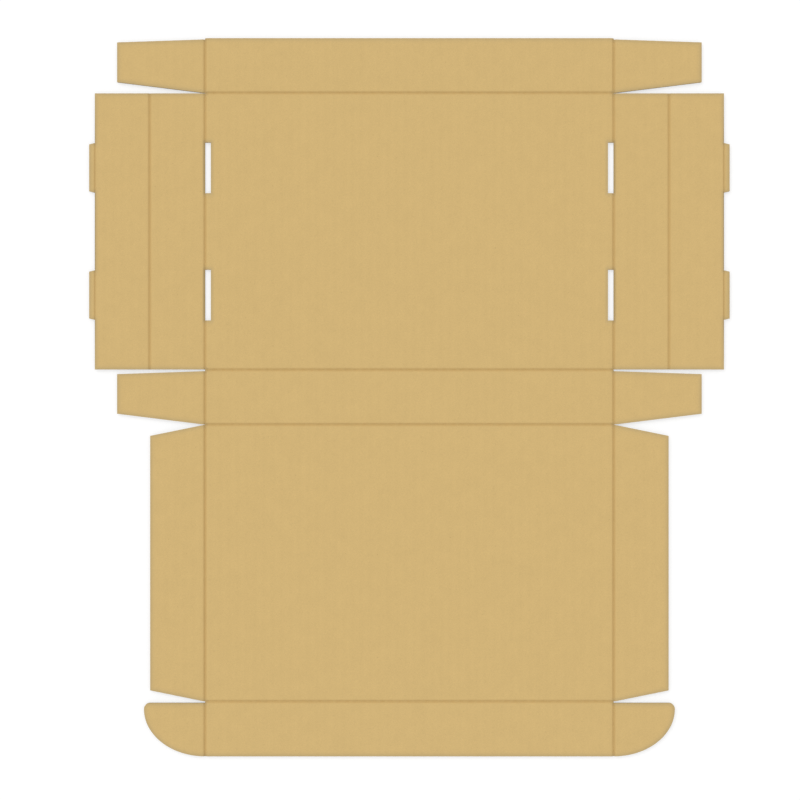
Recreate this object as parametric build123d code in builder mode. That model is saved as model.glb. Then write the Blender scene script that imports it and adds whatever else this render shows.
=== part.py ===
from build123d import *
import math
import os

# Flattened cardboard mailer box: one sheet of corrugated board, die-cut to its outline,
# slotted and creased, lying open with the inside of the box facing up.
# X runs across the box, Y from the lid's tuck flap to the front wall, and Z is up.
# The origin is on the underside, below the middle of the back wall.

# Box, measured from crease to crease
base_width = 300.0
base_depth = 203.2
wall_height = 40.2
side_wall_gain = 0.4

# Corrugated board: two flat liners with a fluted medium glued between them
board_thickness = 3.0
liner_thickness = 0.3
medium_thickness = 0.25
flute_pitch = 6.5
flute_land = 1.0

# Creases pressed into the inside face, which also crush the flutes shut
crease_width = 2.4
crease_point_depth = 1.25
crease_radius = 0.35
crush_margin = 0.4

# Dust flaps at the ends of the front and back walls
dust_flap_length = 64.5
dust_flap_front_gap = 0.9
dust_flap_front_taper = 2.2
dust_flap_back_taper = 8.0

# Side walls with their roll-over panels, and the locking tabs with their slots
side_wall_gap = 0.3
tab_spacing = 93.4
tab_length = 36.4
tab_taper = 1.0
tab_proud = 1.2
tab_score_width = 1.2
tab_score_point_depth = 0.6
tab_score_radius = 0.15
slot_side_clearance = 1.3
slot_end_clearance = 0.4

# Lid side flaps, and the ears of the tuck flap
lid_flap_taper = 8.2
ear_reach = 44.8
ear_gap = 1.1
ear_corner_radius = 4.3

# Board left whole beside a cut that runs along the flutes
edge_margin = 0.8
# How far a cutting shape runs past the surface that it opens
overrun = 1.0

# Crease lines and free edges of the right half
main_crease_x = base_width / 2
roll_crease_x = main_crease_x + wall_height + side_wall_gain
roll_edge_x = roll_crease_x + wall_height
dust_flap_tip_x = main_crease_x + dust_flap_length
lid_flap_tip_x = main_crease_x + wall_height
ear_tip_x = main_crease_x + ear_reach
back_wall_y = wall_height / 2
front_wall_y = back_wall_y + base_depth
front_edge_y = front_wall_y + wall_height
lid_y = -back_wall_y
tuck_y = lid_y - base_depth
tuck_edge_y = tuck_y - wall_height
base_middle_y = (back_wall_y + front_wall_y) / 2
tab_middles = (base_middle_y - tab_spacing / 2, base_middle_y + tab_spacing / 2)

# A tab passes through the base, so its reach and its slot follow the board
tab_reach = board_thickness + tab_proud
slot_width = board_thickness + slot_side_clearance
slot_length = tab_length + 2 * slot_end_clearance

# Half widths of the air cell between one liner and the medium, narrow inside a crest
cell_height = board_thickness - 2 * liner_thickness - medium_thickness
flank_angle = math.atan2(cell_height, flute_pitch / 2 - flute_land)
narrow_half = flute_land / 2 - medium_thickness / 2 * math.tan(flank_angle / 2)
wide_half = narrow_half + cell_height / math.tan(flank_angle)
crush_half = crease_width / 2 + crush_margin


def flap(root_x, tip_x, y_low, y_high, taper_low, taper_high):
    """Outline of a flap that narrows from its root to its tip."""
    Polygon(
        (root_x, y_low),
        (tip_x, y_low + taper_low),
        (tip_x, y_high - taper_high),
        (root_x, y_high),
        align=None,
    )


def crease_section(width, point_depth, radius):
    """Section of a pressed crease: a V with a round bottom, open above the sheet."""
    open_half = width / 2 * (1 + overrun / point_depth)
    with BuildSketch(mode=Mode.PRIVATE) as section:
        Polygon((-open_half, overrun), (0, -point_depth), (open_half, overrun), align=None)
        fillet(section.vertices().sort_by(Axis.Y)[0], radius)
    return section.sketch


def flute_cells(x_low, x_high):
    """Sections of the air cells that fit whole between two places across the sheet."""
    upper_rim = board_thickness - liner_thickness
    for shift, wide_z, narrow_z in (
        (0, upper_rim, upper_rim - cell_height),
        (flute_pitch / 2, liner_thickness, liner_thickness + cell_height),
    ):
        first = math.ceil((x_low + wide_half - shift) / flute_pitch)
        last = math.floor((x_high - wide_half - shift) / flute_pitch)
        with Locations(*[(shift + step * flute_pitch, 0) for step in range(first, last + 1)]):
            Polygon(
                (-wide_half, wide_z),
                (wide_half, wide_z),
                (narrow_half, narrow_z),
                (-narrow_half, narrow_z),
                align=None,
            )


with BuildPart() as box_blank:
    # The die-cut outline: the right half is drawn, then mirrored
    with BuildSketch():
        with Locations((0, tuck_edge_y)):
            Rectangle(main_crease_x, front_edge_y - tuck_edge_y, align=(Align.MIN, Align.MIN))
        # Side wall and roll-over panel
        flap(main_crease_x, roll_edge_x, back_wall_y + side_wall_gap, front_wall_y - side_wall_gap, 0, 0)
        # Dust flaps of the back wall and of the front wall
        for wall_y in (lid_y, front_wall_y):
            flap(
                main_crease_x,
                dust_flap_tip_x,
                wall_y,
                wall_y + wall_height - dust_flap_front_gap,
                dust_flap_back_taper,
                dust_flap_front_taper,
            )
        # Lid side flap
        flap(main_crease_x, lid_flap_tip_x, tuck_y, lid_y, lid_flap_taper, lid_flap_taper)
        # Tuck flap ear: a rounded corner, then a quarter ellipse down to the free edge
        ear_top_y = tuck_y - ear_gap
        ear_middle_y = ear_top_y - ear_corner_radius
        with BuildLine():
            Line((main_crease_x, tuck_edge_y), (main_crease_x, ear_top_y))
            Line((main_crease_x, ear_top_y), (ear_tip_x - ear_corner_radius, ear_top_y))
            RadiusArc(
                (ear_tip_x - ear_corner_radius, ear_top_y),
                (ear_tip_x, ear_middle_y),
                ear_corner_radius,
            )
            EllipticalCenterArc(
                (main_crease_x, ear_middle_y),
                ear_reach,
                ear_middle_y - tuck_edge_y,
                start_angle=270,
                arc_size=90,
            )
        make_face()
        # Locking tabs on the roll-over panel, and their slots just inside the main crease
        for tab_y in tab_middles:
            tab_low, tab_high = tab_y - tab_length / 2, tab_y + tab_length / 2
            flap(roll_edge_x, roll_edge_x + tab_reach, tab_low, tab_high, tab_taper, tab_taper)
            with Locations((main_crease_x - slot_width / 2, tab_y)):
                Rectangle(slot_width, slot_length, mode=Mode.SUBTRACT)
        mirror(about=Plane.YZ)
    extrude(amount=board_thickness)

    # Creases along the box: the two main ones run the whole length of the sheet
    main_section = crease_section(crease_width, crease_point_depth, crease_radius)
    for crease_x, y_low, y_high in (
        (main_crease_x, tuck_edge_y - overrun, front_edge_y + overrun),
        (roll_crease_x, back_wall_y, front_wall_y),
    ):
        with BuildSketch(Plane.XZ.offset(-y_high)):
            with Locations((-crease_x, board_thickness), (crease_x, board_thickness)):
                add(main_section)
        extrude(amount=y_high - y_low, mode=Mode.SUBTRACT)

    # Creases across the box, from one main crease to the other
    with BuildSketch(Plane.YZ.offset(-main_crease_x)):
        with Locations(*[(y, board_thickness) for y in (tuck_y, lid_y, back_wall_y, front_wall_y)]):
            add(main_section)
    extrude(amount=base_width, mode=Mode.SUBTRACT)

    # Shallow scores at the roots of the tabs
    score_section = crease_section(tab_score_width, tab_score_point_depth, tab_score_radius)
    for tab_y in tab_middles:
        with BuildSketch(Plane.XZ.offset(-tab_y - tab_length / 2)):
            with Locations((-roll_edge_x, board_thickness), (roll_edge_x, board_thickness)):
                add(score_section)
        extrude(amount=tab_length, mode=Mode.SUBTRACT)

    # Fluting: air cells run along the box, shut at each crease and open at each cut edge
    cells = []
    for y_low, y_high, margin in (
        (front_wall_y + crush_half, front_edge_y + overrun, crush_half),
        (back_wall_y + crush_half, front_wall_y - crush_half, slot_width + edge_margin),
        (lid_y + crush_half, back_wall_y - crush_half, crush_half),
        (tuck_y + crush_half, lid_y - crush_half, crush_half),
        (tuck_edge_y - overrun, tuck_y - crush_half, crush_half),
    ):
        with BuildSketch(Plane.XZ.offset(-y_high)):
            flute_cells(-main_crease_x + margin, main_crease_x - margin)
        cells.append(extrude(amount=y_high - y_low, mode=Mode.PRIVATE))
    # Flaps beside the main creases: cells up to the line of the roll crease, and on from it
    for tip_x, y_low, y_high in (
        (ear_tip_x, tuck_edge_y - overrun, tuck_y),
        (lid_flap_tip_x, tuck_y, lid_y),
        (dust_flap_tip_x, lid_y, back_wall_y),
        (roll_edge_x, back_wall_y, front_wall_y),
        (dust_flap_tip_x, front_wall_y, front_edge_y),
    ):
        cells_end = tip_x - edge_margin
        with BuildSketch(Plane.XZ.offset(-y_high)):
            flute_cells(main_crease_x + crush_half, min(roll_crease_x - crush_half, cells_end))
            flute_cells(roll_crease_x + crush_half, cells_end)
            mirror(about=Plane.YZ)
        cells.append(extrude(amount=y_high - y_low, mode=Mode.PRIVATE))
    add(cells, mode=Mode.SUBTRACT)

box_blank.part.label = "box_blank"
os.makedirs("parts", exist_ok=True)
export_step(box_blank.part, "parts/box_blank.step")
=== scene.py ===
# Flattened cardboard mailer box: the die-cut blank of a roll-end, tuck-top box, lying open with
# the inside of the box facing up. The board is three papers glued together, two flat liners and a
# fluted medium between them. X runs across the box, and Y along the flutes, up the picture.
import math

import bpy
import numpy as np
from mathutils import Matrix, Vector
from mathutils.geometry import delaunay_2d_cdt


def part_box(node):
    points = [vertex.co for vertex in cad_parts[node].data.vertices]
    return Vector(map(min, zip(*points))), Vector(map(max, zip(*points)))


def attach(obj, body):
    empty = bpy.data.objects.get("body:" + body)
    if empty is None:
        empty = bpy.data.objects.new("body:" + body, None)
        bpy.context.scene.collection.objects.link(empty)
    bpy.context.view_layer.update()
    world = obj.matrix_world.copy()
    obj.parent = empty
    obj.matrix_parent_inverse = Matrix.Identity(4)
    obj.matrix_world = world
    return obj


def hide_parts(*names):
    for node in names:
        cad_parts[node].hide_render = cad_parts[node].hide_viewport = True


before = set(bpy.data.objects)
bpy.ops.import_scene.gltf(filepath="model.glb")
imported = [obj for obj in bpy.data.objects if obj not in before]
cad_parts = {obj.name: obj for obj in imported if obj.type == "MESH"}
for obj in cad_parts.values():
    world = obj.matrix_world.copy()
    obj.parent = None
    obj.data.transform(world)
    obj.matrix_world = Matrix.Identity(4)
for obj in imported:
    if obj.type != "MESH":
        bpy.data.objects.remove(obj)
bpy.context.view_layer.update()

# Outside liner: the bottom paper, which becomes the outside of the folded box. Kraft paper,
# 0.3 mm thick, glued to the flute tips and cut with the other two papers in one stroke of the die.
# It lies on the table, and the creasing plate has left two faint lines under each crease.
# Its plate lines are shallow grooves, tinted darker with crushed fibres and painted shade
low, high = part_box("box_blank")
board_thickness = high.z - low.z
liner_thickness = 0.0003
flute_pitch = 0.0065

wall_height = 0.0402
side_wall_gain = 0.0004
side_wall_gap = 0.0003
tab_length = 0.0364
tab_proud = 0.0012
tab_taper = 0.001
tab_spacing = 0.0934
slot_side_clearance = 0.0013
slot_end_clearance = 0.0004
dust_flap_length = 0.0645
dust_flap_front_gap = 0.0009
dust_flap_front_taper = 0.0022
dust_flap_back_taper = 0.008
lid_flap_taper = 0.0082
ear_reach = 0.0448
ear_gap = 0.0011
ear_corner = 0.0043

# Crease lines and free edges of the right half, the middles of its tabs, and the size of a slot
roll_edge_x = high.x - (board_thickness + tab_proud)
roll_crease_x = roll_edge_x - wall_height
main_crease_x = roll_crease_x - wall_height - side_wall_gain
back_wall_y, lid_y = wall_height / 2, -wall_height / 2
front_wall_y, tuck_y = high.y - wall_height, low.y + wall_height
side_wall_low, side_wall_high = back_wall_y + side_wall_gap, front_wall_y - side_wall_gap
ear_tip_x = main_crease_x + ear_reach
ear_middle_y = tuck_y - ear_gap - ear_corner
tab_middles = [(back_wall_y + front_wall_y + way * tab_spacing) / 2 for way in (-1, 1)]
slot_width = board_thickness + slot_side_clearance
slot_half = tab_length / 2 + slot_end_clearance


def flap(tip_x, y_low, y_high, taper_low, taper_high, root_x=main_crease_x):
    """A flap of the right side, from the low end of its root round its tip to the high end."""
    return [
        (root_x, y_low),
        (tip_x, y_low + taper_low),
        (tip_x, y_high - taper_high),
        (root_x, y_high),
    ]


def dust_flap(wall_y):
    """The flap at the end of the wall that stands between wall_y and a wall height above it."""
    return flap(
        main_crease_x + dust_flap_length,
        wall_y,
        wall_y + wall_height - dust_flap_front_gap,
        dust_flap_back_taper,
        dust_flap_front_taper,
    )


def locking_tab(middle_y):
    """A tab on the free edge of the roll-over panel."""
    tab_low, tab_high = middle_y - tab_length / 2, middle_y + tab_length / 2
    return flap(high.x, tab_low, tab_high, tab_taper, tab_taper, root_x=roll_edge_x)


def quarter(centre_x, centre_y, across, along, first_turn, steps):
    """A quarter of an ellipse, anticlockwise, that starts first_turn right angles from X."""
    turns = [(first_turn + step / steps) * math.pi / 2 for step in range(steps + 1)]
    return [(centre_x + across * math.cos(t), centre_y + along * math.sin(t)) for t in turns]


# Up the right side: ear, lid side flap, back dust flap, side wall and panel, front dust flap
right_side = [
    *quarter(main_crease_x, ear_middle_y, ear_reach, ear_middle_y - low.y, first_turn=-1, steps=28),
    *quarter(ear_tip_x - ear_corner, ear_middle_y, ear_corner, ear_corner, first_turn=0, steps=8),
    (main_crease_x, tuck_y - ear_gap),
    *flap(main_crease_x + wall_height, tuck_y, lid_y, lid_flap_taper, lid_flap_taper),
    *dust_flap(lid_y),
    (main_crease_x, side_wall_low),
    (roll_edge_x, side_wall_low),
    *locking_tab(tab_middles[0]),
    *locking_tab(tab_middles[1]),
    (roll_edge_x, side_wall_high),
    (main_crease_x, side_wall_high),
    *dust_flap(front_wall_y),
    (main_crease_x, high.y),
]
outline = right_side + [(-x, y) for x, y in reversed(right_side)]
slots = [
    [
        (left_x, middle_y - slot_half),
        (left_x, middle_y + slot_half),
        (left_x + slot_width, middle_y + slot_half),
        (left_x + slot_width, middle_y - slot_half),
    ]
    for middle_y in tab_middles
    for left_x in (main_crease_x - slot_width, -main_crease_x)
]

# Every cut edge with the board on its left, then the crease lines and the scores of the tabs
cuts = [
    (start, end)
    for loop in [outline, *slots]
    for start, end in zip(loop, loop[1:] + loop[:1])
    if start != end
]
creases = [
    ((-main_crease_x, y), (main_crease_x, y))
    for y in (tuck_y, lid_y, back_wall_y, front_wall_y)
]
for way in (-1, 1):
    creases.append(((way * main_crease_x, low.y), (way * main_crease_x, high.y)))
    creases.append(((way * roll_crease_x, side_wall_low), (way * roll_crease_x, side_wall_high)))
tab_scores = [
    ((way * roll_edge_x, middle_y - tab_length / 2), (way * roll_edge_x, middle_y + tab_length / 2))
    for way in (-1, 1)
    for middle_y in tab_middles
]


def beside(edges, *offsets):
    """Lines along some straight edges, that far to the left of each. Beside a long edge they run
    on past its ends, so that the mesh is as fine round its corners."""
    long_edge, run_on = 0.004, 0.0018
    lines = []
    for start, end in np.array(edges):
        length = np.hypot(*(end - start))
        along = (end - start) / length
        left = np.array((-along[1], along[0]))
        past_end = along * (run_on if length > long_edge else 0)
        for offset in offsets:
            lines.append((tuple(start + offset * left - past_end), tuple(end + offset * left + past_end)))
    return lines


def both_sides(edges, *offsets):
    """Lines that far to each side of some straight edges, and on them where that is 0."""
    return beside(edges, *offsets, *[-offset for offset in offsets if offset])


def along_flutes(lines_per_flute):
    """Lines the length of the sheet, that many to each flute."""
    count = math.floor(high.x / flute_pitch * lines_per_flute)
    places = [step * flute_pitch / lines_per_flute for step in range(-count, count + 1)]
    return [((x, low.y), (x, high.y)) for x in places]


def distance(points, edges):
    """How far each point is from the nearest of some straight edges."""
    nearest = np.full(len(points), np.inf)
    for start, end in np.array(edges):
        run = end - start
        share = np.clip((points - start) @ run / (run @ run), 0, 1)
        nearest = np.minimum(nearest, np.hypot(*(points - start - share[:, None] * run).T))
    return nearest


def near(points, edges, reach):
    """1 on the edges, falling smoothly to almost nothing at twice the reach."""
    return np.exp(-((distance(points, edges) / reach) ** 2))


def on_board(points):
    """Whether each point is inside the outline and in none of the slots."""
    inside = np.zeros(len(points), bool)
    for start, end in np.array(cuts):
        spans = (start[1] > points[:, 1]) != (end[1] > points[:, 1])
        left = np.cross(end - start, points - start) > 0
        inside ^= spans & (left == (end[1] > start[1]))
    return inside


def die_cut(name, mesh_lines, faces, material, pressed_and_shaded):
    """A paper of the board as one closed mesh, with mesh lines along the cuts and where asked.

    faces gives the height of the paper's lower and upper face at each point, and the last
    argument how strongly each point is darkened along the press lines, where the fibres are
    crushed and shade is painted into the grooves."""
    convex_hull, merge_distance = 0, 1e-7
    cut_band_reach, sharp_angle = 0.002, math.radians(50)
    lines = cuts + mesh_lines
    ends = [Vector(end) for line in lines for end in line]
    pairs = [(2 * line, 2 * line + 1) for line in range(len(lines))]
    cut_points, _, cut_triangles, *_ = delaunay_2d_cdt(ends, pairs, [], convex_hull, merge_distance)
    points, triangles = np.array(cut_points), np.array(cut_triangles)
    triangles = triangles[on_board(points[triangles].mean(axis=1))]
    used, triangles = np.unique(triangles, return_inverse=True)
    points, triangles = points[used], triangles.reshape(-1, 3)

    # The lower face and the upper face, then a rim between them round every cut edge
    lower, upper = faces(points)
    count = len(points)
    places = np.vstack([np.column_stack([points, lower]), np.column_stack([points, upper])])
    sides = [tuple(side) for side in triangles[:, [0, 1, 1, 2, 2, 0]].reshape(-1, 2).tolist()]
    known = set(sides)
    rim = [(a, b, b + count, a + count) for a, b in sides if (b, a) not in known]
    mesh = bpy.data.meshes.new(name)
    mesh.from_pydata(places, [], [*triangles[:, ::-1].tolist(), *(triangles + count).tolist(), *rim])
    # Masks for the tints: the press lines, darkened by crushed fibres and painted shade, and a band along
    # the cuts
    for mark, strength in (("pressed_and_shaded", pressed_and_shaded(points)), ("cut", near(points, cuts, cut_band_reach))):
        values = mesh.attributes.new(mark, "FLOAT", "POINT")
        values.data.foreach_set("value", np.tile(strength, 2).astype(np.float32))
    mesh.shade_smooth()
    mesh.set_sharp_from_angle(angle=sharp_angle)
    mesh.materials.append(material)
    paper = bpy.data.objects.new(name, mesh)
    bpy.context.scene.collection.objects.link(paper)
    return paper


def add_node(tree, kind, inputs, **settings):
    """A shader node with its inputs set, or linked where the value is another node's output."""
    node = tree.nodes.new(kind)
    for setting, value in settings.items():
        setattr(node, setting, value)
    for socket, value in inputs.items():
        if isinstance(value, bpy.types.NodeSocket):
            tree.links.new(value, node.inputs[socket])
        else:
            node.inputs[socket].default_value = value
    return node


def paper_stock(name, tone, fibre_contrast, fleck_share, pressed_and_shade_tint, cut_fibres_and_shade_tint, tooth,
                flute_show=0.0, tip_turn=0.0):
    """Uncoated brown paper: soft clouds where the pulp was thicker, short fibres that lie mostly
    along X, dark hairs and a few flecks. The glued flute tips show through it faintly, the first
    of them tip_turn of a flute from the middle of the board. Along the press lines it is tinted
    darker, with crushed fibres and painted shade, and along the cuts it is tinted too: on the
    liners a darker, greyer band of painted shade and crushed fibres, on the medium lighter cut
    fibres. Tooth is the depth of its surface, and all colours are linear."""
    clouds_a_metre, fibres_a_metre, flecks_a_metre = 110, 4200, 300
    # A wave texture of scale 1 turns through this many radians in a metre
    wave_unit = 20
    material = bpy.data.materials.new(name)
    material.use_nodes = True
    tree = material.node_tree
    place = add_node(tree, "ShaderNodeTexCoord", {}).outputs["Object"]

    def tone_spread(value, contrast):
        """A noise value turned into a factor that runs that far below and above 1."""
        return add_node(tree, "ShaderNodeMapRange", {
            "Value": value, "From Min": 0.3, "From Max": 0.7,
            "To Min": 1 - contrast, "To Max": 1 + contrast}).outputs[0]

    def maths(first, second, operation):
        """The result of one maths step on two values."""
        return add_node(tree, "ShaderNodeMath", {0: first, 1: second}, operation=operation).outputs[0]

    # Clouds of the pulp, and the flute tips, which show more in the brighter clouds
    clouds = add_node(tree, "ShaderNodeTexNoise", {
        "Vector": place, "Scale": clouds_a_metre, "Detail": 4}).outputs["Fac"]
    tips = add_node(tree, "ShaderNodeTexWave", {
        "Vector": place, "Scale": 2 * math.pi / (wave_unit * flute_pitch),
        "Phase Offset": 2 * math.pi * (0.5 - tip_turn)}).outputs["Fac"]
    tips_seen = add_node(tree, "ShaderNodeMapRange", {
        "Value": maths(tips, clouds, "MULTIPLY"), "To Min": 1, "To Max": 1 - flute_show}).outputs[0]
    evenness = maths(tone_spread(clouds, 0.018), tips_seen, "MULTIPLY")

    # Two layers of fibres that cross each other, with dark hairs where the noise peaks
    hairs, relief = 0.0, 0.0
    for lean, shift in ((0.5, 0.0), (-0.42, 0.5)):
        laid = add_node(tree, "ShaderNodeMapping", {
            "Vector": place, "Location": (shift, shift, 0), "Rotation": (0, 0, lean),
            "Scale": (5, 1, 0.4)}, vector_type="TEXTURE").outputs[0]
        fibres = add_node(tree, "ShaderNodeTexNoise", {
            "Vector": laid, "Scale": fibres_a_metre, "Detail": 3, "Roughness": 0.55}).outputs["Fac"]
        evenness = maths(evenness, tone_spread(fibres, fibre_contrast), "MULTIPLY")
        hair = add_node(tree, "ShaderNodeMapRange", {
            "Value": fibres, "From Min": 0.66, "From Max": 0.74, "To Min": 0, "To Max": 0.35})
        hairs = maths(hairs, hair.outputs[0], "ADD")
        relief = maths(relief, fibres, "ADD")

    # Flecks of bark, in some of the cells only, with a ragged edge
    specks = add_node(tree, "ShaderNodeTexVoronoi", {
        "Vector": place, "Scale": flecks_a_metre, "Randomness": 1}).outputs
    speck_chance = add_node(tree, "ShaderNodeSeparateColor", {"Color": specks["Color"]})
    speck_size = add_node(tree, "ShaderNodeMapRange", {
        "Value": speck_chance.outputs[0], "From Min": 1 - fleck_share, "From Max": 1,
        "To Min": 0, "To Max": 0.08})
    ragged = maths(specks["Distance"], tone_spread(fibres, 0.5), "MULTIPLY")
    speck = maths(ragged, speck_size.outputs[0], "LESS_THAN")
    marks = maths(hairs, maths(speck, 0.4, "MULTIPLY"), "MAXIMUM")

    # The sheet's own colour, its marks, then the tints at press lines and cuts, partly painted shade
    sheet = add_node(tree, "ShaderNodeHueSaturation", {"Color": (*tone, 1), "Value": evenness})
    colour = add_node(tree, "ShaderNodeMix", {
        "Factor": marks, "A": sheet.outputs[0],
        "B": (tone[0] * 0.4, tone[1] * 0.34, tone[2] * 0.3, 1)}, data_type="RGBA")
    for mark, tint in (("pressed_and_shaded", pressed_and_shade_tint), ("cut", cut_fibres_and_shade_tint)):
        strength = add_node(tree, "ShaderNodeAttribute", {}, attribute_name=mark)
        uneven = maths(strength.outputs["Fac"], tone_spread(fibres, 0.35), "MULTIPLY")
        colour = add_node(tree, "ShaderNodeMix", {
            "Factor": uneven, "A": colour.outputs[2], "B": (*tint, 1)},
            data_type="RGBA", blend_type="MULTIPLY")

    roughness = add_node(tree, "ShaderNodeMapRange", {
        "Value": relief, "From Max": 2, "To Min": 0.82, "To Max": 0.98})
    surface = add_node(tree, "ShaderNodeBump", {"Height": relief, "Strength": 1, "Distance": tooth})
    shader = tree.nodes["Principled BSDF"]
    shader.inputs["Specular IOR Level"].default_value = 0.3
    tree.links.new(colour.outputs[2], shader.inputs["Base Color"])
    tree.links.new(roughness.outputs[0], shader.inputs["Roughness"])
    tree.links.new(surface.outputs[0], shader.inputs["Normal"])
    return material


def kraft_liner(name, pressed_and_shade_tint, tip_turn=0.0):
    """The light brown, smooth paper of which both liners are made."""
    return paper_stock(
        name, tone=(0.644, 0.451, 0.184), fibre_contrast=0.06, fleck_share=0.3,
        # Along the press lines and cut edges the liner is tinted darker and greyer: crushed fibres and
        # painted shade
        pressed_and_shade_tint=pressed_and_shade_tint, cut_fibres_and_shade_tint=(0.83, 0.865, 0.97), tooth=0.00003,
        flute_show=0.016, tip_turn=tip_turn,
    )


sag_depth = 0.00008
plate_lines = both_sides(creases, 0.0025)
plate_line_depth, plate_line_reach = 0.00012, 0.0005


def sag(points, tip_turn):
    """How far a liner is drawn in between the flute tips that it is glued to."""
    turn = 2 * math.pi * (points[:, 0] / flute_pitch - tip_turn)
    return sag_depth * (0.5 - 0.5 * np.cos(turn))


def underside(points):
    """The lower face of the board, which lies on the table under each flute tip."""
    raised = plate_line_depth * near(points, plate_lines, plate_line_reach)
    return sag(points, tip_turn=0) + raised


outside_liner = die_cut(
    "outside_liner",
    mesh_lines=both_sides(creases, 0.0015, 0.002, 0.0025, 0.003, 0.0035)
    + beside(cuts, 0.0008, 0.0016, 0.0026, 0.0044)
    + along_flutes(4),
    faces=lambda points: (underside(points), underside(points) + liner_thickness),
    material=kraft_liner("outside kraft liner", pressed_and_shade_tint=(0.885, 0.86, 0.825)),
    pressed_and_shaded=lambda points: 0.5 * near(points, plate_lines, 0.0006),
)
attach(outside_liner, "root")
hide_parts("box_blank")

# Fluted medium: the wavy paper between the liners, 0.25 mm thick and glued to them at its tips.
# It is made of rougher and greyer pulp, and shows at every cut edge. The creasing rules have
# pressed it flat along the creases, and the knives have squeezed it a little at the cuts.
medium_thickness = 0.00025
crease_depth, crease_reach = 0.00095, 0.0009
score_depth, score_reach = 0.00055, 0.0004
squeeze_depth, squeeze_reach = 0.0002, 0.0008
flute_give = 0.0001


def topside(points):
    """The upper face of the board: creases pressed in, and cut edges drawn down by the knives.
    Between the flute tips, where the liner is less well held, both go a little deeper."""
    give = flute_give * np.cos(2 * math.pi * points[:, 0] / flute_pitch)
    creased = (crease_depth + give) * near(points, creases, crease_reach)
    scored = score_depth * near(points, tab_scores, score_reach)
    squeezed = (squeeze_depth + give) * near(points, cuts, squeeze_reach)
    return board_thickness - np.maximum(creased, scored) - squeezed - sag(points, tip_turn=0.5)


def wave(points):
    """The lower and upper face of the medium, between the inner faces of the two liners."""
    floor = underside(points) + liner_thickness
    roof = topside(points) - liner_thickness
    swing = (roof - floor - medium_thickness) / 2
    turn = 2 * math.pi * points[:, 0] / flute_pitch
    middle = (roof + floor) / 2 - swing * np.cos(turn)
    slope = swing * 2 * math.pi / flute_pitch * np.sin(turn)
    half = medium_thickness / 2 * np.sqrt(1 + slope**2)
    return middle - half, middle + half


fluted_medium = die_cut(
    "fluted_medium",
    mesh_lines=both_sides(creases, 0, 0.0008, 0.0018)
    + both_sides(tab_scores, 0, 0.0003, 0.0006, 0.001)
    + beside(cuts, 0.0009, 0.002, 0.0044)
    + along_flutes(12),
    faces=wave,
    material=paper_stock(
        "fluting paper", tone=(0.435, 0.305, 0.127), fibre_contrast=0.1, fleck_share=0.4,
        # Darker along the creases, with crushed fibres and painted shade, and lighter at the cuts, where
        # the cut fibres show
        pressed_and_shade_tint=(0.87, 0.85, 0.8), cut_fibres_and_shade_tint=(1.15, 1.2, 1.35), tooth=0.00005,
    ),
    pressed_and_shaded=lambda points: near(points, creases, 0.001),
)
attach(fluted_medium, "root")
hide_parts("box_blank")

# Inside liner: the top paper, which becomes the inside of the folded box. Kraft paper like the
# outside one. The creases are pressed into it from above, so it lies in soft-shouldered grooves
# over the crushed flutes, and the roots of the locking tabs have a shallower score.
# Its creases and tab scores are tinted darker: crushed fibres, and painted shade in the grooves
inside_liner = die_cut(
    "inside_liner",
    mesh_lines=both_sides(creases, 0, 0.0003, 0.0006, 0.0009, 0.0012, 0.0017, 0.0024)
    + both_sides(tab_scores, 0, 0.0003, 0.0006, 0.001, 0.0015, 0.002)
    + beside(cuts, 0.0003, 0.0008, 0.0016, 0.0026, 0.0044)
    + along_flutes(6),
    faces=lambda points: (topside(points) - liner_thickness, topside(points)),
    material=kraft_liner("inside kraft liner", pressed_and_shade_tint=(0.91, 0.89, 0.86), tip_turn=0.5),
    pressed_and_shaded=lambda points: np.maximum(near(points, creases, 0.0011), near(points, tab_scores, 0.0009)),
)
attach(inside_liner, "root")
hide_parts("box_blank")

# Table: a plain white surface under the blank. To the camera it is lifted towards white, and it
# keeps the soft shadow that the board casts round its edges and in its slots.
table_half = 8
table_grey = 0.44
table_lift = 0.6


def seen_as_ground(tree):
    """1 where the camera sees something straight, in a gloss or through glass, and 0 elsewhere."""
    ray = add_node(tree, "ShaderNodeLightPath", {}).outputs
    straight_or_gloss = add_node(tree, "ShaderNodeMath", {
        0: ray["Is Camera Ray"], 1: ray["Is Glossy Ray"]}, operation="MAXIMUM")
    return add_node(tree, "ShaderNodeMath", {
        0: straight_or_gloss.outputs[0], 1: ray["Is Transmission Ray"]}, operation="MAXIMUM").outputs[0]


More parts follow.
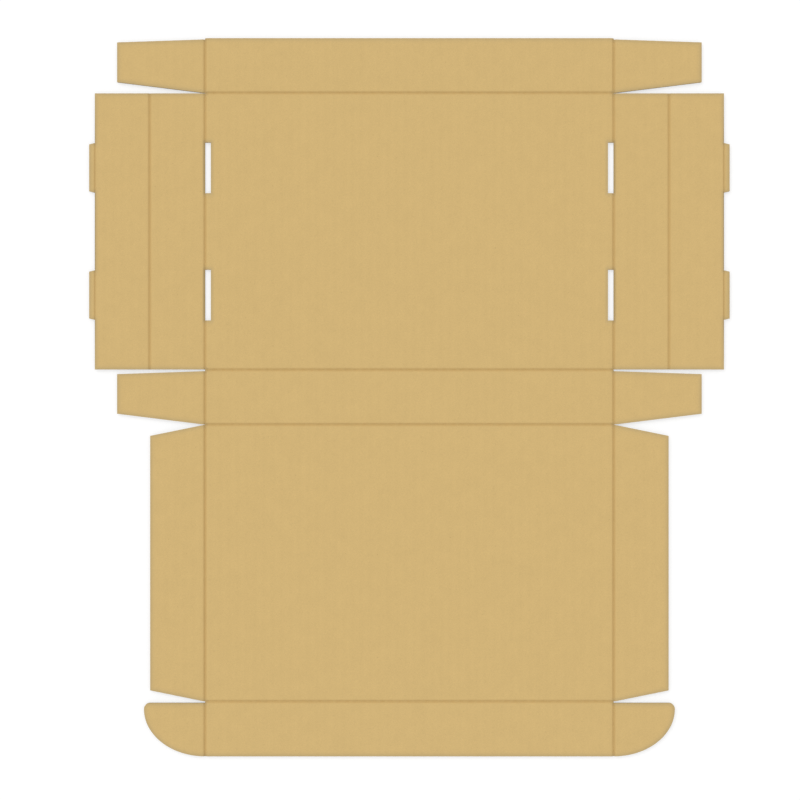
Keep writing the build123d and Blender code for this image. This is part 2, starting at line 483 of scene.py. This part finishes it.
table_mesh = bpy.data.meshes.new("table")
table_mesh.from_pydata([
    (-table_half, -table_half, 0),
    (table_half, -table_half, 0),
    (table_half, table_half, 0),
    (-table_half, table_half, 0),
], [], [(0, 1, 2, 3)])
table = bpy.data.objects.new("table", table_mesh)
bpy.context.scene.collection.objects.link(table)
table_paint = bpy.data.materials.new("white table")
table_paint.use_nodes = True
tree = table_paint.node_tree
paint = tree.nodes["Principled BSDF"]
paint.inputs["Base Color"].default_value = (table_grey, table_grey, table_grey, 1)
paint.inputs["Roughness"].default_value = 1
paint.inputs["Specular IOR Level"].default_value = 0
paint.inputs["Emission Color"].default_value = (1, 1, 1, 1)
lift = add_node(tree, "ShaderNodeMath", {
    0: seen_as_ground(tree), 1: table_lift}, operation="MULTIPLY")
tree.links.new(lift.outputs[0], paint.inputs["Emission Strength"])
table_mesh.materials.append(table_paint)

# Studio light: an even white dome, with one large and far soft lamp from the upper left, which
# lets the creases and the rims of the cuts show
dome_strength = 0.815
lamp_strength = 0.72
lamp_width = math.radians(40)
lamp_direction = Vector((0.6, -0.7, -1.2))

world = bpy.data.worlds.new("studio")
bpy.context.scene.world = world
world.use_nodes = True
tree = world.node_tree
dome = tree.nodes["Background"]
dome.inputs["Color"].default_value = (1, 1, 1, 1)
dome.inputs["Strength"].default_value = dome_strength
backdrop = add_node(tree, "ShaderNodeBackground", {"Color": (1, 1, 1, 1), "Strength": 1})
pick = add_node(tree, "ShaderNodeMixShader", {
    0: seen_as_ground(tree), 1: dome.outputs[0], 2: backdrop.outputs[0]})
tree.links.new(pick.outputs[0], tree.nodes["World Output"].inputs["Surface"])

lamp_data = bpy.data.lights.new("soft lamp", "SUN")
lamp_data.energy = lamp_strength
lamp_data.angle = lamp_width
lamp = bpy.data.objects.new("soft lamp", lamp_data)
lamp.rotation_euler = lamp_direction.to_track_quat("-Z", "Y").to_euler()
bpy.context.scene.collection.objects.link(lamp)

# Camera: straight above the blank, a little left of its middle, as in the picture, and high
# enough to take in the whole sheet with a margin
picture_width = 0.5869
camera_x, camera_y = -0.0069, -0.0020
camera_data = bpy.data.cameras.new("camera")
camera_data.lens = 100
camera_data.sensor_width = 36
camera_height = picture_width * camera_data.lens / camera_data.sensor_width
camera = bpy.data.objects.new("camera", camera_data)
camera.location = (camera_x, camera_y, high.z + camera_height)
bpy.context.scene.collection.objects.link(camera)
bpy.context.scene.camera = camera
bpy.context.scene.view_settings.view_transform = "Standard"
